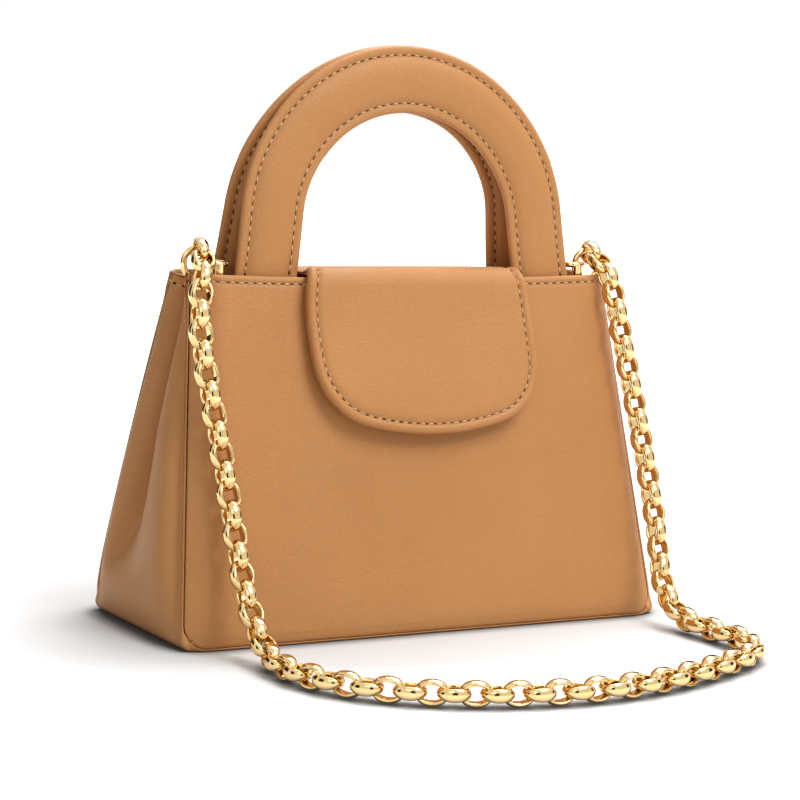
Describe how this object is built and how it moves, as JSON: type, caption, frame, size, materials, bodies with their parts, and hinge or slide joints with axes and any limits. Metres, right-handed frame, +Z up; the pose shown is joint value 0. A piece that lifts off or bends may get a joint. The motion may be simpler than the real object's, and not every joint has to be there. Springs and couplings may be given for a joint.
{
  "type": "top-handle bag with chain strap",
  "caption": "Small structured leather bag with two padded arch handles, a short front flap with a magnetic snap, folding side gussets and a gold chain strap.",
  "frame": {"origin": "middle of the base's underside, on the surface that the bag stands on", "axes": "+Z up, +X to the bag's right seen from the front, front towards -Y"},
  "size_m": [0.24, 0.2308, 0.253],
  "materials": {
    "leather": "smooth fine-grain tan leather, satin",
    "lining": "brushed brown lining",
    "padding": "soft filler",
    "stiffener": "fibre board",
    "gold_metal": "polished pale gold",
    "magnet": "plated disc"
  },
  "bodies": {
    "bag_body": {"base_panel": "leather", "base_board": "stiffener", "base_lining": "lining", "front_panel": "leather", "back_panel": "leather", "left_gusset": "leather", "right_gusset": "leather", "front_lining": "lining", "back_lining": "lining", "left_gusset_lining": "lining", "right_gusset_lining": "lining", "front_handle_tabs": "leather", "back_handle_tabs": "leather", "front_magnet": "magnet", "flap_anchor": "leather", "left_stud": "gold_metal", "right_stud": "gold_metal", "left_ring": "gold_metal", "right_ring": "gold_metal", "stud_rivets": "gold_metal"},
    "flap_bridge": {"bridge_outer": "leather", "bridge_lining": "leather"},
    "flap": {"flap_outer": "leather", "flap_lining": "leather", "flap_magnet": "magnet"},
    "front_handle": {"front_handle_face": "leather", "front_handle_core": "padding", "front_handle_backing": "leather"},
    "back_handle": {"back_handle_face": "leather", "back_handle_core": "padding", "back_handle_backing": "leather"},
    "chain": {"chain_left_strand": "gold_metal", "chain_floor_run": "gold_metal", "chain_right_strand": "gold_metal"}
  },
  "joints": [
    {"name": "bridge_lift", "type": "hinge", "parent": "bag_body", "child": "flap_bridge", "pos_m": [0, 0.02017, 0.15693], "axis": [-1, 0, 0], "range_deg": [0, 23]},
    {"name": "flap_fold", "type": "hinge", "parent": "flap_bridge", "child": "flap", "pos_m": [0, -0.02017, 0.15693], "axis": [-1, 0, 0], "range_deg": [0, 92]},
    {"name": "front_handle_tilt", "type": "hinge", "parent": "bag_body", "child": "front_handle", "pos_m": [0, -0.0106, 0.155], "axis": [1, 0, 0], "range_deg": [0, 12]},
    {"name": "back_handle_tilt", "type": "hinge", "parent": "bag_body", "child": "back_handle", "pos_m": [0, 0.0106, 0.155], "axis": [-1, 0, 0], "range_deg": [0, 12]},
    {"name": "chain_swing", "type": "hinge", "parent": "bag_body", "child": "chain", "pos_m": [0, -0.005, 0.1639], "axis": [-1, 0, 0], "range_deg": [0, 150]}
  ],
  "couplings": [
    {"joint": "bridge_lift", "follows": "flap_fold", "ratio": 0.25}
  ]
}
